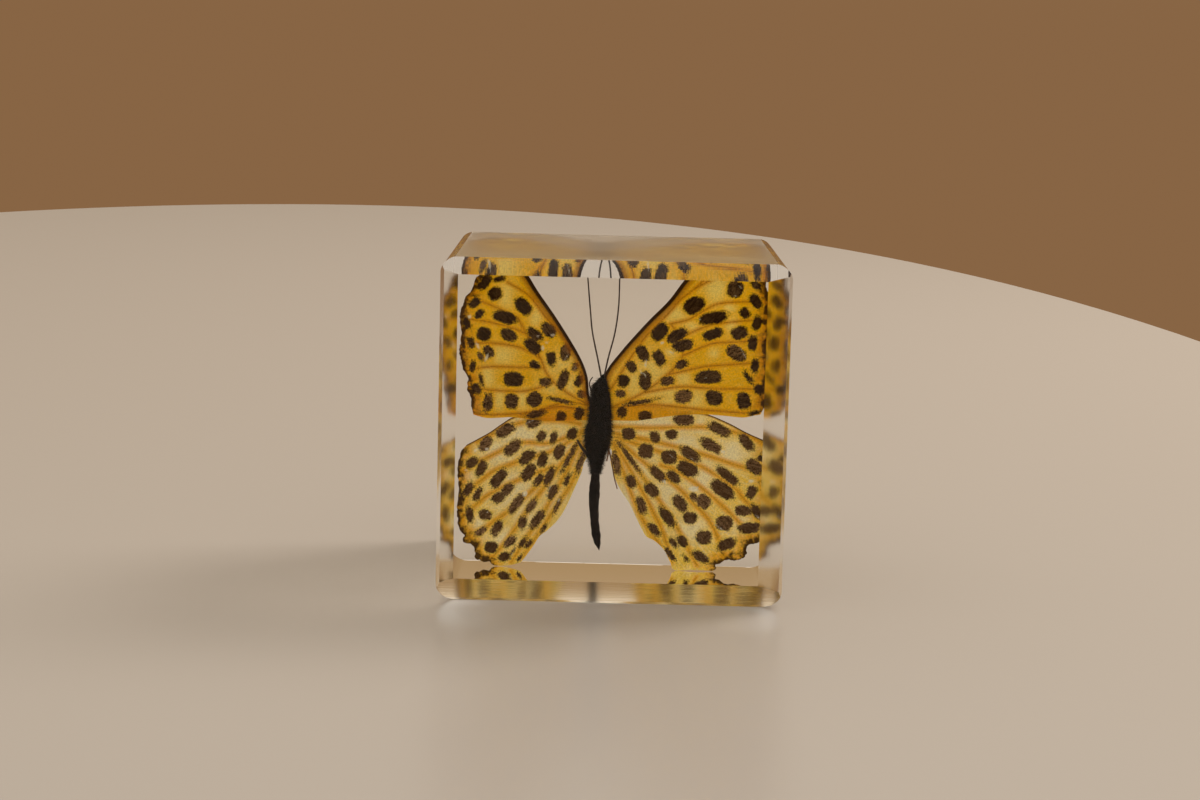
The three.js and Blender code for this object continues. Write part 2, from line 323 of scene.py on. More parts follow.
# Outlines and marks are in mm as seen from the front, x to the right and z up. A spot is
# (x, z, length, height, lean in degrees, wear), a pale patch (x, z, half length, half height)
# and a fleck, where the scales are rubbed off, (x, z, length, height, lean).
foreLeft = {
    "kind": "fore",
    "root": (-4, 38),
    "lead": [
        (-3, 38), (-5.2, 40), (-6, 45.2), (-8.2, 50.2), (-13.2, 58), (-17.6, 64.1), (-20, 67.8),
        (-22.4, 70.5), (-25.6, 71.3),
    ],
    "margin": [
        (-28.3, 70.6), (-31.2, 67.4), (-33.4, 63.2), (-35, 60.2), (-35.1, 54), (-35, 47.6), (-33.6, 44.6),
        (-33.2, 41.2), (-32.2, 37),
    ],
    "trail": [
        (-31.9, 35.4), (-29, 34.7), (-26, 34.8), (-22.6, 35), (-15.5, 34.4), (-5, 34.8), (-3, 34.9),
    ],
    "scallopDepth": 0.4,
    "spots": [
        (-27.5, 63.4, 3.3, 3, 30, 0), (-21, 60.8, 4.6, 3.1, -50, 0), (-25.1, 58, 5.5, 2.9, -15, 0),
        (-30.9, 58.7, 2.6, 1.8, 45, 0), (-33.6, 56.2, 2.7, 1.6, -60, 0), (-29.8, 54.1, 3.4, 3.1, -20, 0),
        (-24.2, 54, 4, 2.7, -25, 0.2), (-32.8, 52, 3, 1.7, -80, 0.1), (-28.7, 50, 3.1, 2.3, -60, 0.4),
        (-30.5, 49, 2.6, 1.3, -60, 0.5), (-18.2, 54.3, 4, 2.4, -35, 0.1), (-18.6, 51.6, 4.4, 2.9, -45, 0.1),
        (-15, 55.4, 3.9, 2.8, -50, 0.2), (-11, 50.4, 4, 2.4, 70, 0.6), (-14.3, 48.8, 3.5, 2.2, -80, 0.1),
        (-18.1, 47.2, 2.7, 1.9, -25, 0.2), (-8.8, 47.1, 2.5, 1.6, 65, 0.7),
        (-15.5, 43.3, 2.8, 2.1, -15, 0.5), (-11.5, 43.9, 4.5, 2.3, 70, 0.4), (-7.7, 44, 3.2, 2, 70, 0.1),
        (-22.9, 43.8, 4.7, 3.4, -5, 0.1), (-7, 40.8, 2.4, 2, 0, 0.6), (-17.9, 39.3, 3.7, 3.4, 60, 0.3),
        (-23.2, 38.7, 3.7, 3, 80, 0.4), (-28.6, 38.2, 4.6, 2.3, 85, 0.5), (-32.3, 46.6, 3, 1.5, 80, 0.1),
        (-30.3, 43.7, 3.4, 1, -75, 0.1), (-31.3, 41.5, 2.7, 1.9, -55, 0.2), (-29.8, 65.9, 4.2, 2.3, 55, 0),
        (-26.6, 66.8, 2.7, 1.3, 20, 0), (-32.2, 61.1, 3, 1.9, 45, 0), (-11.7, 39.1, 5.8, 1.1, -10, 0.5),
        (-11.7, 35.3, 2.9, 2.3, 80, 0.3), (-7.6, 36.3, 3, 2.4, 70, 0.3), (-17.6, 35.9, 4.6, 1.6, 15, 0.4),
    ],
    "veins": [
        [(-5.6, 41), (-7.2, 48.2), (-10.6, 52.8), (-15.6, 58.1), (-19.7, 63.1), (-24.7, 66.1)],
        [(-5.8, 38.5), (-10.8, 41.2), (-14.8, 44.6), (-16.8, 48.8), (-20.1, 54.3), (-22.1, 58)],
        [(-22.1, 58), (-25.6, 59.6), (-29, 61), (-31.8, 62)],
        [(-20.1, 54.3), (-23.3, 55.6), (-28.4, 56.8), (-34.3, 57.6)],
        [(-16.8, 48.8), (-21.6, 51.2), (-27.5, 52), (-34.4, 51.8)],
        [(-16, 46.6), (-21.5, 46.6), (-29, 46.5), (-34, 45.4)],
        [(-13.5, 43.3), (-20, 41.2), (-28, 41.2), (-32.8, 41.7)],
        [(-5.8, 38.2), (-10.7, 38.8), (-18.6, 36.4), (-26.6, 35.5), (-31.3, 35.5)],
        [(-5.7, 37.2), (-8.5, 37.5), (-12.3, 37.8), (-17.3, 36.6), (-21.3, 35.6)],
    ],
    "pale": [
        (-25, 63.1, 1.7, 2.7), (-18, 58.2, 1.4, 2), (-25.4, 49.3, 2.7, 1.8), (-29, 44.2, 1.7, 2.4),
        (-20.7, 39.1, 1.4, 2.2), (-31.3, 37.3, 1.2, 1.6), (-12, 47.5, 3.5, 2.4), (-13.8, 42.7, 2.9, 1.7),
        (-26, 38.9, 1.2, 2.2), (-10, 43.4, 2.4, 2.4),
    ],
    "flecks": [
        (-14.1, 54.2, 1.1, 0.7, 0), (-15.4, 52.5, 1, 0.6, 0), (-17.4, 53.9, 0.7, 0.4, 0),
        (-31.2, 51.4, 2.2, 0.7, -60), (-29.1, 48.7, 2, 0.8, 70), (-33.2, 58, 1, 1, 0),
        (-16.3, 51.2, 0.9, 1.2, 0), (-11, 49, 1.6, 0.3, 60), (-9, 46.4, 1.4, 0.3, 60),
    ],
}
foreRight = {
    "kind": "fore",
    "root": (-1, 38),
    "lead": [
        (-2.4, 40), (-1.9, 45.6), (2, 51.3), (7.5, 57.8), (12.2, 62.8), (16, 68), (19.5, 70.9),
        (24.5, 71.9),
    ],
    "margin": [
        (30.5, 71.2), (33, 70), (34.2, 68), (34, 66.9), (34.9, 64.8), (35.2, 60), (35, 55), (35.2, 50),
        (35.2, 45), (35, 40.5), (34.7, 39),
    ],
    "trail": [
        (34, 37.1), (32.5, 36.8), (29.9, 36.3), (25.6, 36.6), (20, 36.8), (14, 36.3), (8.5, 35.4),
        (5, 34.9), (-2.4, 34.9),
    ],
    "scallopDepth": 0.3,
    "spots": [
        (18, 61.9, 5, 3.8, 30, 0), (22.5, 59.1, 6.8, 2.8, 13, 0), (27.3, 65.8, 3.9, 3.8, 0, 0.2),
        (29.6, 60.5, 2.8, 2.3, -55, 0), (32.1, 63.1, 4, 2.3, -55, 0), (32.5, 58.2, 3.4, 2.2, 80, 0),
        (28.6, 55.8, 3.8, 3, 20, 0.1), (22.5, 55.3, 4.8, 2.6, 22, 0), (10.4, 55.6, 4.6, 3.2, 50, 0),
        (14.3, 54.9, 5.3, 2.6, 30, 0.1), (15.8, 52.6, 5.2, 2.7, 18, 0.2), (31.7, 53.5, 3.3, 2.3, 85, 0),
        (28, 51.2, 4.8, 3.3, -30, 0.5), (6.5, 50.6, 4, 2.6, -60, 0.2), (10.4, 49.5, 3.9, 2.6, -60, 0.2),
        (15.6, 48.3, 3, 2.1, 22, 0.2), (4.1, 47.4, 2.8, 2.1, -60, 0.3), (32.4, 48.3, 3.5, 1.9, 85, 0),
        (30.8, 45.7, 3.5, 1.4, -52, 0), (21.8, 45.5, 6.2, 3.2, 5, 0.2), (2.3, 44, 3.1, 2.8, 80, 0),
        (7.3, 44.3, 4.3, 2.8, -85, 0.3), (12.4, 44.4, 3.3, 2, 12, 0.5), (33.4, 43.1, 2.5, 2, 60, 0),
        (16.2, 40.8, 4, 3.3, 20, 0.9), (1.7, 41.1, 2.4, 1.9, 0, 0.7), (23.3, 40.7, 4.1, 3.4, -10, 0.2),
        (30.1, 40.2, 4.3, 3.1, -75, 0.1), (32.7, 37.4, 2.8, 1.3, 15, 0), (6.4, 39.3, 7.2, 1.1, 12, 0.4),
        (2.3, 36.8, 2.7, 2.2, 80, 0.4), (7.6, 36, 3.2, 2.6, 0, 0.3), (31.8, 67, 2.6, 1.8, -40, 0.2),
    ],
    "veins": [
        [(-0.4, 42.2), (3.9, 49.5), (7.2, 54.4), (12.5, 60.2), (14.8, 63), (17.8, 65.5), (20, 67.6)],
        [(0.1, 38), (6.5, 41.2), (12.3, 45.7), (15.7, 49.9), (15.1, 54.4), (12.7, 57.5)],
        [(12.7, 57.5), (16.6, 58.5), (19.5, 60.2), (22.5, 62), (25.5, 62.7), (30.5, 63), (34.8, 62.8)],
        [(15.1, 54.4), (20.9, 57.1), (25.4, 58.1), (34.8, 59.2)],
        [(15.7, 50.2), (20.1, 52.3), (22.8, 53.3), (26, 53.6), (34.6, 54.2)],
        [(12.3, 45.7), (20.1, 47.7), (25, 48.3), (34.8, 49.2)],
        [(7.2, 41.5), (15.3, 43), (24, 42.8), (34.8, 43)],
        [(0.1, 37.8), (9.6, 38.7), (21.4, 37.8), (31.5, 37.3)],
        [(17.8, 65.5), (22, 67.9), (26.5, 69.3)],
    ],
    "pale": [
        (23, 65.8, 2.4, 3), (13.8, 59.6, 2.7, 1.6), (17.5, 57, 1.8, 1), (22.8, 51, 1.1, 1),
        (8.7, 46.8, 3.5, 3.8), (13, 40.8, 5.8, 1.8), (5.2, 44.4, 3.3, 3.8), (18.8, 40.3, 2.4, 1.8),
        (13, 51, 1.4, 0.9), (26.7, 57.8, 1.2, 1.8), (26, 61.4, 1.2, 1), (16, 45, 1.6, 1.4),
    ],
    "flecks": [
        (28.5, 66.3, 1.2, 0.3, -40), (27.2, 64.3, 0.8, 0.4, 0), (29.8, 50.8, 1.4, 0.4, -60),
        (29.2, 51.9, 1, 0.3, -50), (11, 53.1, 1.2, 0.8, 20), (7.2, 45.6, 1.2, 0.5, -60),
        (6.3, 46.3, 1.2, 0.5, -70), (7.3, 48.1, 2.4, 0.7, 85), (19.5, 58.7, 0.5, 0.4, 0),
        (20.9, 45.2, 0.8, 0.3, 20), (13, 51, 1.6, 0.5, -20),
    ],
}
hindLeft = {
    "kind": "hind",
    "root": (-5, 32),
    "lead": [
        (-3, 35.5), (-8.5, 37.6), (-12.5, 37.8), (-16.5, 37.1), (-22.5, 35.1), (-25, 33.6), (-28, 31.4),
        (-30.5, 29.9), (-33.3, 28.3),
    ],
    "margin": [
        (-34.4, 27), (-35, 25), (-35.1, 20), (-35.1, 14), (-35, 9.4), (-33.5, 7.4), (-33.7, 5.9),
        (-31.3, 4.5), (-30.6, 1.8), (-29.4, 1.2), (-27.6, 1.1), (-27, 0.5),
    ],
    "trail": [
        (-26.4, 0.15), (-24, 0.15), (-21, 0.8), (-19.8, 1.7), (-17.5, 5), (-16.1, 7.3), (-14.3, 8.8),
        (-12, 11.2), (-10.3, 14), (-8.4, 18.4), (-6.8, 22.4), (-5.9, 25.5), (-3, 29),
    ],
    "scallopDepth": 0.3,
    "spots": [
        (-18, 34, 3.8, 2.6, 30, 0.4), (-24.5, 31.9, 4.7, 2.7, 28, 0.4), (-29, 28.7, 3.8, 2.5, 60, 0.6),
        (-22.7, 27.9, 4.7, 2.6, 40, 0.4), (-16.2, 30.7, 2.7, 2, 60, 0.3), (-13.4, 30.3, 3.1, 1.7, 75, 0.1),
        (-9.1, 31.5, 3.1, 2.3, 75, 0), (-32, 24.2, 3.4, 2.2, 50, 0.1), (-29.9, 22.8, 4, 2.2, 62, 0.1),
        (-19.4, 25.7, 4.5, 2.6, 45, 0.2), (-15.8, 25.2, 3.6, 2.4, 75, 0.1), (-12, 27.2, 3.8, 2.4, 70, 0.2),
        (-25.8, 20.7, 5.3, 2.6, 52, 0.2), (-19, 22.2, 4.2, 2.8, 55, 0.2), (-16.6, 20.5, 3.2, 1.9, 55, 0.3),
        (-14.1, 21.5, 4.8, 2, 65, 0.2), (-32.8, 17.8, 4, 2, 60, 0.2), (-30.6, 16.8, 3.7, 1.6, 68, 0.3),
        (-25.8, 16.1, 3.2, 2.3, 35, 0.2), (-23.7, 18.1, 3.5, 2.2, 50, 0.5),
        (-21.6, 14.8, 5.2, 2.1, 57, 0.5), (-18.1, 14.4, 3.9, 1.9, 58, 0.6),
        (-13.3, 17.8, 3.9, 1.9, 62, 0.3), (-10, 20.6, 3.6, 1.2, 68, 0), (-32.3, 12, 3.9, 1.9, -80, 0.1),
        (-28.7, 12, 2.9, 2.4, -20, 0.3), (-20.1, 10.5, 3.3, 2, 75, 0.3), (-16.6, 11.3, 5, 2.1, 57, 0.3),
        (-12.1, 14.6, 4.3, 1.2, 70, 0.4), (-29.8, 8, 3, 1.6, 35, 0.7), (-26, 8.9, 4.2, 2.1, 60, 0.3),
        (-22.9, 5.9, 3.7, 2, 50, 0.6), (-27.3, 4.4, 3.1, 2.9, 0, 0), (-19.9, 5.8, 3.1, 1.3, 58, 0),
        (-18.5, 5.5, 2.8, 1.3, 52, 0.1), (-15.1, 9.2, 2.9, 1, 58, 0.1), (-24.2, 2.2, 3.2, 2, 15, 0),
        (-9.6, 25.9, 8, 1.1, 64, 0.4), (-7.1, 24.7, 5.2, 1.4, 73, 0.7), (-20.6, 2, 2.4, 0.8, 50, 0.2),
        (-22.4, 3.3, 2.4, 0.6, 62, 0.2),
    ],
    "veins": [
        [(-7.4, 33.8), (-13.3, 34.5), (-22, 33.4), (-30.8, 29)],
        [(-6.5, 32.3), (-14.3, 29.2), (-20.9, 29), (-28.4, 25.5), (-34.8, 21.8)],
        [(-6.7, 31.7), (-14, 27.2), (-21.5, 24.6), (-28, 21.6), (-34.9, 15.5)],
        [(-13.1, 23.6), (-21.2, 20.4), (-29.1, 16), (-34.8, 10.2)],
        [(-13.6, 22.3), (-22.8, 13.5), (-26.8, 10.4), (-32.4, 6.1)],
        [(-7.3, 30.2), (-12.9, 22.3), (-18.7, 13.9), (-22.7, 7.5), (-26.7, 2.2)],
        [(-7.3, 29.6), (-11.2, 20.6), (-15.7, 12.2), (-18.8, 7.3), (-22.5, 1)],
        [(-6.4, 28.7), (-8.5, 21.3), (-11.9, 15.2), (-16.7, 7.4), (-19.9, 2.3)],
    ],
    "pale": [
        (-22.1, 31.3, 7.4, 3.5), (-22.9, 18, 5.3, 4.4), (-13.2, 28.5, 5.9, 4.4), (-26.4, 26.8, 4.4, 3),
        (-18.6, 12.1, 3.5, 3.5), (-25, 6.6, 3.5, 2.4), (-12.8, 16.7, 2.4, 3.5), (-32.7, 21, 1.7, 1.7),
        (-30.4, 10, 1.7, 1.7),
    ],
    "flecks": [
        (-31.2, 27.1, 1.4, 0.7, 30), (-28.7, 27.4, 1, 0.8, 0), (-33.2, 22.4, 0.9, 0.5, 0),
        (-14.1, 18.1, 4, 0.25, 70), (-18.6, 34.2, 2.8, 0.3, 28), (-11.8, 15.9, 1, 0.5, 70),
        (-22.4, 2.8, 3, 0.25, 68), (-19.6, 17.2, 1.6, 1.2, 60), (-28.2, 12.6, 0.8, 0.3, 20),
    ],
}
hindRight = {
    "kind": "hind",
    "root": (0, 32),
    "lead": [
        (-2.4, 36), (4, 38.4), (10.4, 38.6), (15, 37.9), (18.9, 37.4), (22.5, 36.6), (27, 34.8), (31, 32.8),
        (35.1, 31.1),
    ],
    "margin": [
        (35.9, 28.5), (36.2, 24), (36.2, 15), (35.9, 9), (35.2, 7.3), (32.4, 6.8), (31.8, 4.6), (30.6, 3.1),
        (28.6, 3), (26.6, 2.6), (25.2, 1.8), (24.6, 0.7),
    ],
    "trail": [
        (24.2, 0.15), (20, 0.3), (15.4, 0.15), (14.3, 2), (12.8, 4.8), (10.7, 6.8), (8.9, 7.7), (8.1, 8.6),
        (6.3, 12), (4.5, 15.6), (2.6, 18.3), (1.1, 21.2), (-0.1, 25), (0, 28), (-2.4, 29),
    ],
    "scallopDepth": 0.3,
    "spots": [
        (16.5, 35.4, 4.8, 2.9, -5, 0.3), (3.9, 31.8, 3.2, 3, 0, 0.2), (10, 31.2, 3, 2.3, -70, 0.2),
        (13.8, 31.9, 2.8, 2.4, 0, 0.2), (24.7, 33.4, 5.7, 2.4, -25, 0.3), (31, 30.6, 4.8, 2.4, -52, 0.2),
        (7.9, 27.9, 3.6, 3.4, 0, 0.2), (13.4, 26.6, 3.7, 3.4, 0, 0.2), (18.1, 27.5, 5.3, 2.6, -32, 0.2),
        (22.9, 29.6, 5.4, 2.5, -28, 0.4), (17.7, 24, 5, 3.2, -28, 0.1), (33, 24.9, 4.6, 3.1, -38, 0.4),
        (34.5, 26.8, 1.8, 1.5, -30, 0), (10.8, 22.7, 5, 2.3, -45, 0.3), (14.5, 22, 3.6, 2.3, -35, 0.2),
        (26.9, 22.7, 6.6, 2.3, -38, 0.1), (4.8, 20.7, 3.2, 2.3, -65, 0.2), (9.6, 18.8, 4, 2.7, -48, 0.2),
        (25.9, 19.3, 6.2, 3.3, -35, 0.1), (32.6, 19, 3.2, 2.4, 60, 0.2), (21.6, 16.4, 3.6, 3.2, -40, 0.5),
        (19.3, 17.4, 2.2, 1.5, -60, 0.6), (7.3, 15.2, 4.3, 2.2, -72, 0.4), (16.2, 15.8, 4.7, 2.7, -50, 0.3),
        (18.6, 12.5, 3.1, 2.9, 0, 0.2), (13.3, 12.6, 5.6, 2.4, -52, 0.1), (30.8, 14.6, 4, 2.5, -5, 0.2),
        (33.9, 14.5, 3.8, 2, -58, 0), (10.4, 9.5, 3.6, 1.9, -52, 0.2), (26.6, 11.5, 4, 3.6, 0, 0.3),
        (32.4, 10.5, 5.2, 2.7, 5, 0.2), (22, 8, 3.6, 3.3, 0, 0.2), (17, 7, 3.2, 2, -48, 0),
        (15, 6.5, 2.8, 1.5, -48, 0.3), (27.2, 6.5, 4.7, 2.6, 22, 0.1), (14.3, 3.7, 4.2, 1.3, -50, 0.1),
        (17.8, 3, 2.1, 1, -50, 0), (21.2, 3.4, 4.2, 2.2, -35, 0.2), (4.3, 26.1, 9, 1.2, -53, 0.4),
        (1.2, 24.8, 6, 1.7, -75, 0.6),
    ],
    "veins": [
        [(0.2, 33.3), (9.7, 33.3), (21.5, 33.8), (30.3, 32.3), (35.2, 30.3)],
        [(0.5, 31.8), (11.5, 29.8), (21.6, 27.3), (29, 25.1), (35.6, 23.5)],
        [(0.8, 31), (11.5, 27.7), (20.2, 24.9), (27.7, 20.4), (30.7, 17.5), (35, 12.2)],
        [(11.6, 24.7), (15.8, 23.1), (21.8, 19), (28.5, 13.2), (32.4, 8.9)],
        [(1.1, 30.4), (8.4, 24.6), (13.5, 21.2), (17.7, 17.5), (23.4, 11.4), (26.9, 3.7)],
        [(0.9, 30.1), (7.6, 21.6), (11.8, 15.8), (16.1, 9.4), (20.5, 1.4)],
        [(0.6, 29.8), (7.1, 18.9), (12, 9.8), (14.8, 2)],
        [(0.4, 29.5), (3.4, 21.5), (7.2, 12.7), (12, 5.7)],
    ],
    "pale": [
        (12.5, 34.2, 11.8, 2.4), (21.7, 22, 4.4, 4.8), (13, 18.2, 4.4, 3.5), (6.9, 24.6, 3.5, 3.5),
        (27.5, 28, 4.4, 3), (29.4, 11.8, 2.7, 2.7), (19, 10, 3.5, 3), (4.1, 17.1, 2.4, 4.4),
        (15.6, 29.9, 5.9, 2.4),
    ],
    "flecks": [
        (25.7, 28.2, 1.4, 0.9, -30), (26.3, 9.8, 4.8, 0.35, -36), (21.6, 5.3, 5.4, 0.3, -54),
        (19.2, 19.3, 2.4, 1.4, 0), (32.4, 21.5, 1.6, 0.9, 0), (13.8, 27, 1.2, 0.3, -40),
        (12.5, 20.8, 1.4, 0.8, -30), (34.2, 13.2, 1.4, 0.5, -50), (19.1, 26, 2.6, 0.25, -40),
    ],
}
wings = {"foreLeft": foreLeft, "foreRight": foreRight, "hindLeft": hindLeft, "hindRight": hindRight}
wingMesh = {
    "grid": 0.3,  # mm between the points of a wing's mesh
    "rowStep": 0.87,  # of the grid, from one row of points to the next
    "rimGap": 0.45,  # of the grid, kept free inside the outline
    "edgeStep": 0.3,  # mm between the points of an outline
    "ragged": 0.48,  # mm that the worn outer edge wanders at most
    "raggedScale": 1.3,  # wanderings per mm
    "outset": 0.35,  # mm, makes up for what the wear takes away
    "scallops": 7,
    "layers": {"fore": -0.2, "hind": 0.2},  # mm behind the parting plane
    "wave": 0.22,  # mm that a wing ripples out of flat
    "waveScale": 0.06,  # ripples per mm
    "veinRise": 0.06,  # mm
    "veinWidth": 0.25,
    "spotSquareness": 2.5,  # 2 makes an oval, more a rounded box
    "paleFall": 0.7,  # how fast a pale patch fades away from its middle
}


def splineThrough(points, steps):
    # a smooth curve through the points, evenly stepped in its own measure
    points = [np.array(p, float) for p in points]
    curve = []
    spans = len(points) - 1
    for i in range(steps + 1):
        place = min(i / steps * spans, spans - 1e-9)
        k = int(place)
        t = place - k
        before, here = points[max(k - 1, 0)], points[k]
        after, later = points[k + 1], points[min(k + 2, spans)]
        slopeIn, slopeOut = (after - before) / 2, (later - here) / 2
        bend = (2 * here - 2 * after + slopeIn + slopeOut) * t ** 3
        bend += (-3 * here + 3 * after - 2 * slopeIn - slopeOut) * t ** 2
        curve.append(bend + slopeIn * t + here)
    return np.array(curve)


def lineLength(points):
    return float(np.sum(np.hypot(*np.diff(np.array(points, float), axis=0).T)))


def wingOutline(wing):
    # the whole outline, and the scalloped outer part of it
    step = wingMesh["edgeStep"]
    lead, margin, trail = (
        splineThrough(wing[part], int(lineLength(wing[part]) / step)) for part in ("lead", "margin", "trail")
    )
    side = 1 if wing["margin"][0][0] < 0 else -1
    run = np.gradient(margin, axis=0)
    run /= np.hypot(run[:, 0], run[:, 1])[:, None]
    inward = np.stack([-run[:, 1], run[:, 0]], axis=1) * side
    t = np.linspace(0, 1, len(margin))
    scoop = wing["scallopDepth"] * np.sin(np.pi * wingMesh["scallops"] * t) ** 2
    scale = wingMesh["raggedScale"]
    wander = np.array([abs(noise.noise(Vector((x * scale, z * scale, 4.7)))) for x, z in margin])
    margin = margin + inward * (scoop + wander * wingMesh["ragged"] - wingMesh["outset"])[:, None]
    return np.vstack([lead, margin[1:], trail]), margin


def insideOutline(outline, points):
    # even-odd test, one outline edge at a time
    inside = np.zeros(len(points), bool)
    x, z = points[:, 0], points[:, 1]
    for (x0, z0), (x1, z1) in zip(outline, np.roll(outline, -1, axis=0)):
        if z0 == z1:
            continue
        crosses = ((z0 > z) != (z1 > z)) & (x < (x1 - x0) * (z - z0) / (z1 - z0) + x0)
        inside ^= crosses
    return inside


def gapToLine(points, line):
    # shortest distance from each point to a run of straight stretches
    best = np.full(len(points), 1e9)
    line = np.array(line, float)
    for start, end in zip(line, line[1:]):
        chord = end - start
        square = float(chord @ chord) or 1e-12
        t = np.clip(((points - start) @ chord) / square, 0, 1)
        away = points - start - t[:, None] * chord
        best = np.minimum(best, np.hypot(away[:, 0], away[:, 1]))
    return best


def spotGap(points, spots):
    # distance to the nearest spot's edge, negative inside, and that spot's wear
    best = np.full(len(points), 9.0)
    wear = np.zeros(len(points))
    power = wingMesh["spotSquareness"]
    for x, z, length, height, lean, worn in spots:
        turn = math.radians(lean)
        dx, dz = points[:, 0] - x, points[:, 1] - z
        along = (dx * math.cos(turn) + dz * math.sin(turn)) / (length / 2)
        across = (-dx * math.sin(turn) + dz * math.cos(turn)) / (height / 2)
        reach = (np.abs(along) ** power + np.abs(across) ** power) ** (1 / power)
        gap = (reach - 1) * min(length, height) / 2
        closer = gap < best
        best = np.where(closer, gap, best)
        wear = np.where(closer, worn, wear)
    return best, wear


def blobWeight(points, blobs):
    weight = np.zeros(len(points))
    for x, z, halfLength, halfHeight in blobs:
        square = ((points[:, 0] - x) / halfLength) ** 2 + ((points[:, 1] - z) / halfHeight) ** 2
        weight = np.maximum(weight, np.exp(-square * wingMesh["paleFall"]))
    return weight


def wingSheet(outline):
    # triangles between the outline and a grid of points inside it
    grid = wingMesh["grid"]
    low, high = outline.min(0), outline.max(0)
    columns = np.arange(low[0], high[0], grid)
    inner = []
    for i, z in enumerate(np.arange(low[1], high[1], grid * wingMesh["rowStep"])):
        shift = grid / 2 if i % 2 else 0.0
        inner.append(np.stack([columns + shift, np.full(len(columns), z)], axis=1))
    inner = np.vstack(inner)
    inner = inner[insideOutline(outline, inner)]
    ring = np.vstack([outline, outline[:1]])
    inner = inner[gapToLine(inner, ring) > grid * wingMesh["rimGap"]]
    points = [Vector(p) for p in np.vstack([outline, inner])]
    rim = list(range(len(outline)))
    vertices, _, faces, _, _, _ = delaunay_2d_cdt(points, [], [rim], 1, 1e-5)
    return np.array([(v.x, v.y) for v in vertices]), [tuple(f) for f in faces]


def wingMarks(wing, points, margin):
    # what the wing's material reads at each point, mostly distances in mm to the marks
    spots, wear = spotGap(points, wing["spots"])
    flecks, _ = spotGap(points, [fleck + (0,) for fleck in wing["flecks"]])
    veins = [gapToLine(points, splineThrough(vein, 6 * len(vein))) for vein in wing["veins"]]
    fromRoot = points - np.array(wing["root"])
    return {
        "spotGap": spots,
        "spotWear": wear,
        "veinGap": np.min(veins, axis=0),
        "edgeGap": gapToLine(points, margin),
        "leadGap": gapToLine(points, splineThrough(wing["lead"], 60)),
        "paleness": blobWeight(points, wing["pale"]),
        "fleckGap": flecks,
        "rayTurn": np.arctan2(fromRoot[:, 1], np.abs(fromRoot[:, 0])),
        "rayReach": np.hypot(fromRoot[:, 0], fromRoot[:, 1]),
    }


def makeWing(name, material):
    wing = wings[name]
    outline, margin = wingOutline(wing)
    points, faces = wingSheet(outline)
    marks = wingMarks(wing, points, margin)
    layer, scale = wingMesh["layers"][wing["kind"]], wingMesh["waveScale"]
    places = []
    for (x, z), vein in zip(points, marks["veinGap"]):
        swell = noise.noise(Vector((x * scale, z * scale, layer * 9))) * wingMesh["wave"]
        ridge = wingMesh["veinRise"] * math.exp(-(vein / wingMesh["veinWidth"]) ** 2)
        y = layer + swell - ridge
        places.append((x * mm, wingY + y * mm, z * mm))
    piece = newMesh("wing_" + name, places, faces)
    for label, values in marks.items():
        store = piece.data.attributes.new(label, "FLOAT", "POINT")
        store.data.foreach_set("value", values.astype(np.float32))
    piece.data.materials.append(material)
    dressButterfly(piece)
    print(piece.name, len(faces), "triangles")


def dressButterfly(piece):
    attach(piece, "root")
    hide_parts("butterfly")


wingColours = {
    "fore": {
        "ground": (0.94, 0.52, 0.003, 1),
        "deep": (0.70, 0.27, 0.002, 1),
        "pale": (1.0, 0.75, 0.17, 1),
        "spot": (0.022, 0.008, 0.001, 1),
        "wornSpot": (0.22, 0.12, 0.045, 1),
        "vein": (0.40, 0.13, 0.004, 1),
        "edge": (0.030, 0.011, 0.002, 1),
        "lead": (0.022, 0.009, 0.003, 1),
        "fleck": (0.97, 0.90, 0.66, 1),
    },
    "hind": {
        "ground": (0.97, 0.68, 0.09, 1),
        "deep": (0.84, 0.40, 0.005, 1),
        "pale": (1.0, 0.88, 0.50, 1),
        "spot": (0.060, 0.027, 0.007, 1),
        "wornSpot": (0.26, 0.15, 0.07, 1),
        "vein": (0.62, 0.30, 0.02, 1),
        "edge": (0.030, 0.011, 0.002, 1),
        "lead": (0.10, 0.05, 0.018, 1),
        "fleck": (0.99, 0.95, 0.80, 1),
    },
}
# the glows are (reach in mm, strength) of the deeper gold beside a vein and the outer edge
wingLook = {
    "fore": {
        "throughLight": 0.76,  # share of the light that comes through from behind
        "streaks": 0.2,  # strength of the pale streaks
        "veinGlow": (0.9, 0.65),
        "edgeGlow": (4.0, 0.9),
        "leadWidth": 0.68,  # mm of dark front edge
        "leadSpread": 0.009,  # how much wider the dark front edge gets per mm from the root
        "stripeWidth": 1.5,  # mm of brown behind the dark front edge
    },
    "hind": {
        "throughLight": 0.9,
        "streaks": 0.5,
        "veinGlow": (1.3, 0.9),
        "edgeGlow": (4.5, 0.85),
        "leadWidth": 0.22,
        "leadSpread": 0.002,
        "stripeWidth": 0.35,
    },
}
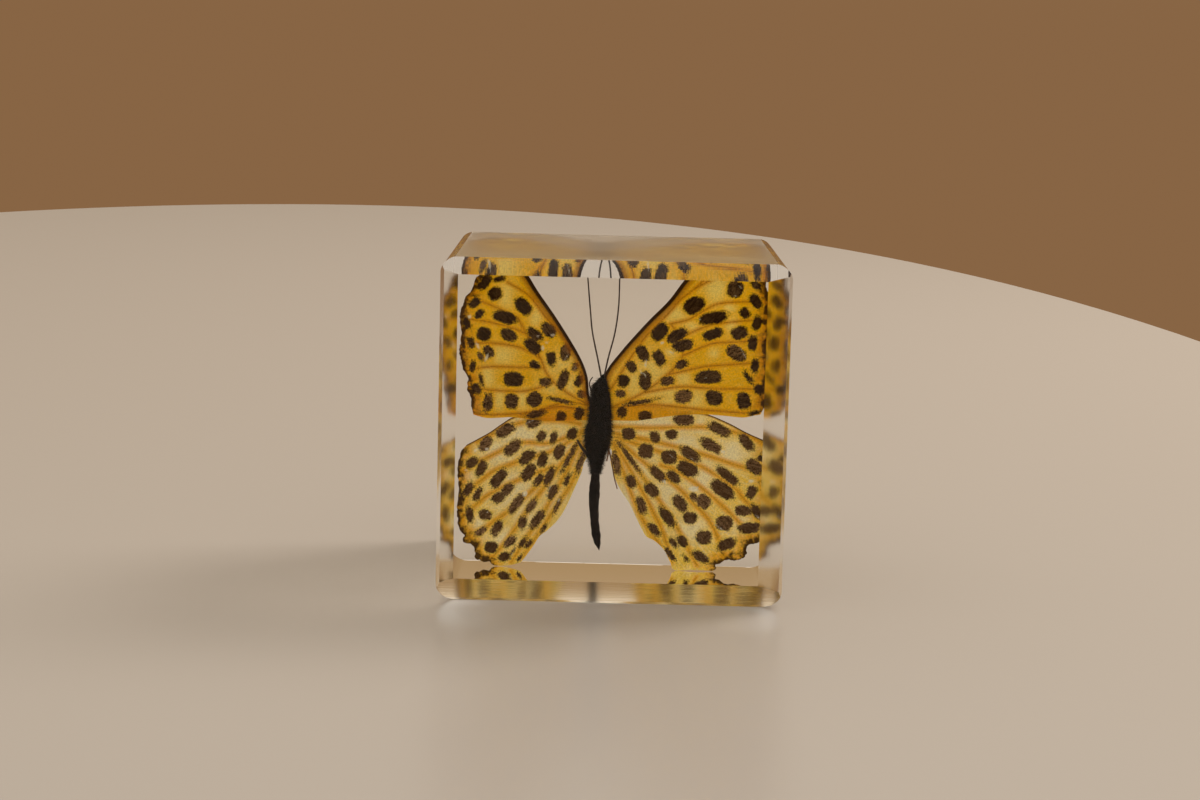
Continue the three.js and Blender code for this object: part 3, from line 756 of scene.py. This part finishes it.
# a fade is (from mm, to mm, strength) of a mark, counted from its edge outwards
wingSurface = {
    "roughness": 0.5,
    "shine": 0.15,
    "bump": (0.35, 0.08),  # strength, and depth in mm
    "coarseNoise": 420,  # swirls per metre
    "blotchNoise": 720,
    "fineNoise": 2600,
    "rays": (60, 0.45),  # streaks round the wing's root per radian, and along a streak per mm
    "streakStart": (0.42, 0.7),  # where the streaks' noise sets in and where it is full
    "wander": 0.8,  # size of the broad unevenness of the marks
    "fray": 1.2,  # size of the fine one
    # how much of a noise is added to the distance from each kind of mark
    "unevenness": {
        "pale": 0.9, "glow": 4, "vein": 0.25, "spot": 0.9,
        "edge": 5.5, "edgeFray": 0.5, "lead": 0.2, "fleck": 0.9,
    },
    "glowStart": {"vein": 0.1, "edge": 0.6},  # mm
    "spotHalo": (0, 0.8, 0.5),
    "veinFade": (0.02, 0.26, 0.7),
    "spotFade": (-0.26, 0.26, 1),
    "edgeFade": (0.3, 1.84, 0.95),
    "stripeStart": 0.1,  # mm behind the dark front edge
    "stripeStrength": 0.75,
    "leadFade": (0.6, 1.3, 0.97),  # of the width of the dark front edge
    "fleckFade": (-0.3, 0.06, 0.75),
    "wearNoise": {"streaks": 0.6, "fine": 0.4},  # share of each noise in the rubbing of a spot
    "wearStart": (0.40, 0.62),  # where that noise sets in and where it is full
    "wearLeast": 0.15,  # wear that every spot has
    "wearStrength": 1.5,
    "grain": (0.25, 0.75, 0.76, 1.16),  # fine noise from, to, and what the colour is multiplied by
}


def wingNoises(tree):
    place = objectPlace(tree)
    fine = noiseNode(tree, place, wingSurface["fineNoise"], 3.0, 0.7)
    coarse = noiseNode(tree, place, wingSurface["coarseNoise"])
    blotches = noiseNode(tree, place, wingSurface["blotchNoise"])
    rays = addNode(tree, "ShaderNodeCombineXYZ")  # streaks that run out from the wing's root
    for socket, name, scale in zip(rays.inputs, ("rayTurn", "rayReach"), wingSurface["rays"]):
        tree.links.new(times(tree, attributeNode(tree, name), scale), socket)
    # all but the fine noise and the streaks are centred on nothing
    return {
        "fine": fine,
        "streaks": noiseNode(tree, rays.outputs[0], 1.0, 3.0, 0.6),
        "wander": times(tree, plus(tree, coarse, -0.5), wingSurface["wander"]),
        "fray": times(tree, plus(tree, fine, -0.5), wingSurface["fray"]),
        "blotches": plus(tree, blotches, -0.5),
    }


def unevenGap(tree, gap, noiseOutput, mark):
    return plus(tree, gap, times(tree, noiseOutput, wingSurface["unevenness"][mark]))


def fadeOut(tree, gap, fade):
    start, end, strength = fade
    return rangeNode(tree, gap, start, end, strength, 0.0)


def paintGround(tree, kind, noises):
    # pale patches, deeper gold beside the veins and towards the outer edge, and the veins
    colours, look = wingColours[kind], wingLook[kind]
    paleness = times(tree, noises["wander"], wingSurface["unevenness"]["pale"])
    paleness = plus(tree, attributeNode(tree, "paleness"), paleness, True)
    colour = mixColour(tree, paleness, colours["ground"], colours["pale"])
    streaks = rangeNode(tree, noises["streaks"], *wingSurface["streakStart"], 0.0, look["streaks"])
    colour = mixColour(tree, streaks, colour, colours["pale"])
    veinGap, edgeGap = attributeNode(tree, "veinGap"), attributeNode(tree, "edgeGap")
    glow = fadeOut(tree, veinGap, (wingSurface["glowStart"]["vein"], *look["veinGlow"]))
    colour = mixColour(tree, glow, colour, colours["deep"])
    edgeGap = unevenGap(tree, edgeGap, noises["wander"], "glow")
    glow = fadeOut(tree, edgeGap, (wingSurface["glowStart"]["edge"], *look["edgeGlow"]))
    colour = mixColour(tree, glow, colour, colours["deep"])
    halo = fadeOut(tree, attributeNode(tree, "spotGap"), wingSurface["spotHalo"])
    colour = mixColour(tree, halo, colour, colours["ground"])
    veinGap = unevenGap(tree, veinGap, noises["fray"], "vein")
    veins = fadeOut(tree, veinGap, wingSurface["veinFade"])
    return mixColour(tree, veins, colour, colours["vein"])


def paintSpots(tree, kind, noises, colour):
    # ragged spots, rubbed through where they are worn
    colours = wingColours[kind]
    gap = plus(tree, attributeNode(tree, "spotGap"), noises["fray"])
    gap = unevenGap(tree, gap, noises["blotches"], "spot")
    share = fadeOut(tree, gap, wingSurface["spotFade"])
    streaks, fine = (times(tree, noises[name], part) for name, part in wingSurface["wearNoise"].items())
    grain = rangeNode(tree, plus(tree, streaks, fine), *wingSurface["wearStart"])
    wear = plus(tree, attributeNode(tree, "spotWear"), wingSurface["wearLeast"])
    worn = times(tree, wear, times(tree, grain, wingSurface["wearStrength"]), True)
    return mixColour(tree, share, colour, mixColour(tree, worn, colours["spot"], colours["wornSpot"]))


def paintEdges(tree, kind, noises, colour):
    # the dark outer edge, broken by gold, and the banded front edge
    colours, look = wingColours[kind], wingLook[kind]
    gap = unevenGap(tree, attributeNode(tree, "edgeGap"), noises["blotches"], "edge")
    gap = unevenGap(tree, gap, noises["fray"], "edgeFray")
    colour = mixColour(tree, fadeOut(tree, gap, wingSurface["edgeFade"]), colour, colours["edge"])
    spread = times(tree, attributeNode(tree, "rayReach"), look["leadSpread"])
    gap = mathNode(tree, "SUBTRACT", attributeNode(tree, "leadGap"), spread)
    width = look["leadWidth"]
    stripeStart = width + wingSurface["stripeStart"]
    stripe = (stripeStart, width + look["stripeWidth"], wingSurface["stripeStrength"])
    colour = mixColour(tree, fadeOut(tree, gap, stripe), colour, colours["vein"])
    gap = unevenGap(tree, gap, noises["fray"], "lead")
    start, end, strength = wingSurface["leadFade"]
    lead = fadeOut(tree, gap, (width * start, width * end, strength))
    return mixColour(tree, lead, colour, colours["lead"])


def paintScales(tree, kind, noises, colour):
    # scales rubbed off in flecks, and the grain of the scales that are left
    gap = unevenGap(tree, attributeNode(tree, "fleckGap"), noises["fray"], "fleck")
    flecks = fadeOut(tree, gap, wingSurface["fleckFade"])
    colour = mixColour(tree, flecks, colour, wingColours[kind]["fleck"])
    grain = rangeNode(tree, noises["fine"], *wingSurface["grain"])
    grainColour = addNode(tree, "ShaderNodeCombineColor")
    for socket in grainColour.inputs:
        tree.links.new(grain, socket)
    return mixColour(tree, 1.0, colour, grainColour.outputs[0], "MULTIPLY")


def wingMaterial(kind):
    material, tree, shader = newMaterial(kind + "wing")
    noises = wingNoises(tree)
    colour = paintGround(tree, kind, noises)
    for paint in (paintSpots, paintEdges, paintScales):
        colour = paint(tree, kind, noises, colour)
    tree.links.new(colour, shader.inputs["Base Color"])
    shader.inputs["Roughness"].default_value = wingSurface["roughness"]
    shader.inputs["Specular IOR Level"].default_value = wingSurface["shine"]
    addBump(tree, shader, noises["fine"], *wingSurface["bump"])
    through = addNode(tree, "ShaderNodeBsdfTranslucent")
    tree.links.new(colour, through.inputs["Color"])
    both = addNode(tree, "ShaderNodeMixShader", None, {"Fac": wingLook[kind]["throughLight"]})
    tree.links.new(shader.outputs[0], both.inputs[1])
    tree.links.new(through.outputs[0], both.inputs[2])
    tree.links.new(both.outputs[0], tree.nodes["Material Output"].inputs["Surface"])
    return material


body = {
    # from the tip of the abdomen to the top of the head: (z, middle x, half width) in mm
    "sections": [
        (4.3, -2.2, 0.02), (5.1, -2.4, 0.35), (6, -2.65, 0.75), (8, -3, 1.07), (10, -3.3, 1), (12, -3.5, 1),
        (15, -3.7, 1.15), (18, -3.65, 1.28), (20, -3.6, 1.17), (22, -3.5, 0.95), (23, -3.45, 0.95),
        (25, -3.4, 1.58), (27, -3.5, 2.1), (29, -3.3, 2.8), (31, -3.15, 3.1), (33, -3, 3), (35, -2.8, 2.65),
        (38, -2.8, 2.5), (40, -2.8, 2.35), (41.5, -2.9, 2), (43, -2.95, 1.7), (44, -2.5, 1), (45, -2.4, 0.45),
        (45.6, -2.3, 0.02),
    ],
    "flatness": 0.92,
    "rings": 160,
    "sides": 48,
    "abdomenTop": 22.8,  # mm, the bare, dried part lies below
    "segment": 2.3,  # mm from one ring of the abdomen to the next
    "segmentSwell": (0.93, 0.09),  # of the width, at a groove and added between two grooves
    "chestSwell": 0.97,
    "lumps": 0.06,  # of the width
    "hairs": 5200,
    "hairLength": (0.4, 1.25),  # mm
    "hairWidth": 0.045,
    "hairTop": 44.8,  # mm, height of the highest hairs
    "seed": 11,
}


def bodyAt(z):
    levels, middles, halves = zip(*body["sections"])
    return float(np.interp(z, levels, middles)), float(np.interp(z, levels, halves))


def bodyPoint(z, turn, extra=0.0):
    middle, half = bodyAt(z)
    lump = noise.noise(Vector((math.cos(turn) * 1.4, math.sin(turn) * 1.4, z * 0.9))) * body["lumps"]
    if z < body["abdomenTop"]:
        groove, swelling = body["segmentSwell"]
        swell = groove + swelling * abs(math.sin(math.pi * z / body["segment"])) ** 0.6 + lump
    else:
        swell = body["chestSwell"] + lump
    reach = half * swell + extra
    x = middle + reach * math.cos(turn)
    y = reach * math.sin(turn) * body["flatness"]
    return Vector((x * mm, wingY + y * mm, z * mm))


def tubeFaces(rings, sides):
    # a skin round rings of points, closed at both ends
    faces = []
    for i in range(rings - 1):
        for k in range(sides):
            a, b = i * sides + k, i * sides + (k + 1) % sides
            faces.append((a, b, b + sides, a + sides))
    last = (rings - 1) * sides
    faces.append(tuple(reversed(range(sides))))
    faces.append(tuple(range(last, last + sides)))
    return faces


def makeBody():
    low, high = body["sections"][0][0], body["sections"][-1][0]
    rings, sides = body["rings"], body["sides"]
    vertices = []
    for i in range(rings + 1):
        z = low + (high - low) * i / rings
        vertices += [bodyPoint(z, 2 * math.pi * k / sides) for k in range(sides)]
    faces = tubeFaces(rings + 1, sides)
    piece = newMesh("body", vertices, faces)
    piece.data.materials.append(mottledMaterial("driedBody"))
    dressButterfly(piece)
    print("body:", len(faces), "faces")


def makeBodyHair():
    chance = random.Random(body["seed"])
    vertices, faces = [], []
    for _ in range(body["hairs"]):
        z = chance.uniform(body["abdomenTop"] - 0.5, body["hairTop"])
        turn = chance.uniform(0, 2 * math.pi)
        root = bodyPoint(z, turn, -0.05)
        out = (bodyPoint(z, turn, 1) - bodyPoint(z, turn)).normalized()
        droop = Vector((chance.uniform(-0.3, 0.3), chance.uniform(-0.3, 0.3), chance.uniform(-1.0, 0.2)))
        way = (out + droop).normalized()
        length = chance.uniform(*body["hairLength"]) * mm
        side = way.cross(Vector((0.3, 0.5, 0.8))).normalized() * body["hairWidth"] * mm
        other = way.cross(side).normalized() * body["hairWidth"] * mm
        tip = len(vertices) + 3
        vertices += [root + side, root - side * 0.5 + other, root - side * 0.5 - other, root + way * length]
        faces += [(tip - 3, tip - 2, tip), (tip - 2, tip - 1, tip), (tip - 1, tip - 3, tip)]
    piece = newMesh("body_hair", vertices, faces, False)
    piece.data.materials.append(mottledMaterial("bodyHair"))
    dressButterfly(piece)
    print("body hair:", len(faces), "triangles")


# two colours in patches; patches are (noise per metre, detail, from, to) and the grain of the
# skin is (noise per metre, detail, strength, depth in mm)
bodyFinishes = {
    "driedBody": {
        "dark": (0.004, 0.0025, 0.002, 1), "light": (0.014, 0.009, 0.007, 1),
        "patches": (700, 4, 0.35, 0.7), "roughness": 0.6, "shine": 0.12, "grain": (3000, 4, 0.5, 0.1),
    },
    "bodyHair": {
        "dark": (0.004, 0.003, 0.002, 1), "light": (0.03, 0.015, 0.006, 1),
        "patches": (900, 2, 0.4, 0.7), "roughness": 0.7, "shine": 0.5, "grain": None,
    },
    "feelerSkin": {
        "dark": (0.030, 0.018, 0.014, 1), "light": (0.07, 0.04, 0.03, 1),
        "patches": (1200, 3, 0.35, 0.7), "roughness": 0.5, "shine": 0.5, "grain": None,
    },
    "legSkin": {
        "dark": (0.12, 0.05, 0.015, 1), "light": (0.30, 0.14, 0.05, 1),
        "patches": (1200, 3, 0.35, 0.7), "roughness": 0.5, "shine": 0.5, "grain": None,
    },
}


def mottledMaterial(name):
    finish = bodyFinishes[name]
    material, tree, shader = newMaterial(name)
    place = objectPlace(tree)
    scale, detail, start, end = finish["patches"]
    patches = rangeNode(tree, noiseNode(tree, place, scale, detail), start, end)
    tree.links.new(mixColour(tree, patches, finish["dark"], finish["light"]), shader.inputs["Base Color"])
    shader.inputs["Roughness"].default_value = finish["roughness"]
    shader.inputs["Specular IOR Level"].default_value = finish["shine"]
    if finish["grain"]:
        scale, detail, strength, depth = finish["grain"]
        addBump(tree, shader, noiseNode(tree, place, scale, detail), strength, depth)
    return material


# each path is (x, z) in mm from the root on, and radius is at the root and at the end
limbs = {
    "feeler_left": {
        "path": [(-2.7, 44.6), (-3.6, 48.8), (-5, 55), (-5.6, 60), (-6.4, 67.8), (-6.7, 70.6)],
        "radius": (0.2, 0.15), "skin": "feelerSkin",
    },
    "feeler_right": {
        "path": [(-2.1, 44.8), (-1.2, 49.5), (0.1, 55), (0.8, 61), (0.9, 68), (0.9, 70.7)],
        "radius": (0.2, 0.15), "skin": "feelerSkin",
    },
    "leg_left": {
        "path": [(-4.5, 26), (-6, 27.3), (-7, 28.6), (-7.9, 30.1)],
        "radius": (0.42, 0.25), "skin": "feelerSkin",
    },
    "palp": {
        "path": [(-4.4, 40), (-5.4, 43.1), (-4.7, 44.8)],
        "radius": (0.2, 0.12), "skin": "feelerSkin",
    },
    "leg_right": {
        "path": [(-0.8, 30.5), (-0.6, 28), (-1, 25.3)],
        "radius": (0.28, 0.15), "skin": "legSkin",
    },
    "leg_trailing": {
        "path": [(-0.7, 28.5), (0.2, 25), (0.8, 21.7), (1.6, 18.9)],
        "radius": (0.2, 0.12), "skin": "legSkin",
    },
}
limbShape = {
    "sides": 10,
    "steps": 60,
    "clubLength": 2.2,  # mm
    "clubRadius": 0.48,
    "clubSteps": (0.25, 0.5, 0.75, 0.9, 1.0),  # rings in the rounded end of a club
    "joints": 0.35,  # mm between a feeler's joints
    "jointSwell": 0.06,
}


def feelerRadius(radius, toTip, gone):
    # a feeler is finely jointed and swells to a club at its tip
    near = toTip / limbShape["clubLength"]
    if near < 1:
        club = limbShape["clubRadius"] * math.sin(math.pi * min(near + 0.02, 1)) ** 0.7
        radius = max(radius, club)  # the club is fullest in its middle
        radius *= min(1, (near + 0.004) * 6) ** 0.5  # and rounded off at the very tip
    return radius * (1 + limbShape["jointSwell"] * math.sin(2 * math.pi * gone / limbShape["joints"]))


def makeLimb(name, material):
    path = splineThrough(limbs[name]["path"], limbShape["steps"])
    startRadius, endRadius = limbs[name]["radius"]
    isFeeler = name.startswith("feeler")
    if isFeeler:
        run = (path[-1] - path[-2]) / np.hypot(*(path[-1] - path[-2]))
        tip = [path[-1] + run * limbShape["clubLength"] / 2 * t for t in limbShape["clubSteps"]]
        path = np.vstack([path, tip])
    total = lineLength(path)
    sides = limbShape["sides"]
    vertices = []
    gone = 0.0
    for i, (x, z) in enumerate(path):
        if i:
            gone += float(np.hypot(*(path[i] - path[i - 1])))
        radius = startRadius + (endRadius - startRadius) * gone / total
        if isFeeler:
            radius = feelerRadius(radius, total - gone, gone)
        run = path[min(i + 1, len(path) - 1)] - path[max(i - 1, 0)]
        run = run / np.hypot(*run)
        for k in range(sides):
            turn = -2 * math.pi * k / sides  # this way round, the faces look outwards
            across, deep = radius * math.cos(turn), radius * math.sin(turn)
            vertices.append(((x - run[1] * across) * mm, wingY + deep * mm, (z + run[0] * across) * mm))
    piece = newMesh(name, vertices, tubeFaces(len(path), sides))
    piece.data.materials.append(material)
    dressButterfly(piece)


studio = {
    "floorMiddle": (-0.158, 0.243),  # m
    "floorHalf": (0.423, 0.928),
    "floorSides": 128,
    "floorDrop": 0.0001,  # m that it lies below the block
    "floorColour": (0.318, 0.289, 0.264, 1),
    "floorRoughness": 0.3,
    "skyFront": (0.08, 0.06, 0.045, 1),  # low in the sky on the camera's side
    "skyTurn": (-0.5, 0.2),  # where the sky on the camera's side turns into the rest
    # upwards from the horizon at 0 to overhead at 1: (from, to, colour), where a colour holds up to
    # "from" and has turned into the next one at "to"
    "skySteps": [
        (0.00, 0.22, (0.245, 0.13, 0.058, 1)),
        (0.20, 0.29, (0.38, 0.24, 0.11, 1)),
        (0.36, 0.75, (0.80, 0.64, 0.45, 1)),
        (1.00, 1.00, (1.25, 1.19, 1.10, 1)),
    ],
}
windowLamp = {
    "place": (0.9, 0.5, 0.9),  # m
    "aim": (0, 0, 0.03),
    "size": 0.6,
    "power": 15,  # watts
    "colour": (1.0, 0.93, 0.84),
}


def makeFloor():
    middleX, middleY = studio["floorMiddle"]
    halfX, halfY = studio["floorHalf"]
    sides = studio["floorSides"]
    vertices = []
    for k in range(sides):
        turn = 2 * math.pi * k / sides
        x, y = middleX + halfX * math.cos(turn), middleY + halfY * math.sin(turn)
        vertices.append((x, y, -studio["floorDrop"]))
    floor = newMesh("floor", vertices, [tuple(range(sides))], False)
    material, tree, shader = newMaterial("paleTable")
    shader.inputs["Base Color"].default_value = studio["floorColour"]
    shader.inputs["Roughness"].default_value = studio["floorRoughness"]
    floor.data.materials.append(material)


def makeSky():
    world = bpy.data.worlds.new("studioAir")
    bpy.context.scene.world = world
    world.use_nodes = True
    tree = world.node_tree
    direction = addNode(tree, "ShaderNodeTexCoord").outputs["Generated"]
    parts = addNode(tree, "ShaderNodeSeparateXYZ")
    tree.links.new(direction, parts.inputs[0])
    steps = studio["skySteps"]
    nearSide = rangeNode(tree, parts.outputs["Y"], *studio["skyTurn"], 1.0, 0.0)
    colour = mixColour(tree, nearSide, steps[0][2], studio["skyFront"])
    for (low, high, _), (_, _, above) in zip(steps, steps[1:]):
        colour = mixColour(tree, rangeNode(tree, parts.outputs["Z"], low, high), colour, above)
    background = tree.nodes["Background"]
    tree.links.new(colour, background.inputs["Color"])
    background.inputs["Strength"].default_value = 1.0


def makeWindowLight():
    data = bpy.data.lights.new("window", "AREA")
    data.shape = "SQUARE"
    data.size = windowLamp["size"]
    data.energy = windowLamp["power"]
    data.color = windowLamp["colour"]
    lamp = bpy.data.objects.new("window", data)
    bpy.context.scene.collection.objects.link(lamp)
    lamp.location = windowLamp["place"]
    way = Vector(windowLamp["aim"]) - Vector(windowLamp["place"])
    lamp.rotation_euler = way.to_track_quat("-Z", "Y").to_euler()


makeCamera()
makeFloor()
makeSky()
makeWindowLight()
print("camera, floor, sky and window light made")
makeResinBlock()
wingMaterials = {kind: wingMaterial(kind) for kind in wingColours}
for wingName, wing in wings.items():
    makeWing(wingName, wingMaterials[wing["kind"]])
makeBody()
makeBodyHair()
limbMaterials = {name: mottledMaterial(name) for name in ("feelerSkin", "legSkin")}
for limbName, limb in limbs.items():
    makeLimb(limbName, limbMaterials[limb["skin"]])
print("feelers and legs:", len(limbs))

scene = bpy.context.scene
scene.view_settings.view_transform = "Standard"
scene.cycles.max_bounces = 24
scene.cycles.transmission_bounces = 20
scene.cycles.glossy_bounces = 8
scene.cycles.sample_clamp_indirect = 6.0
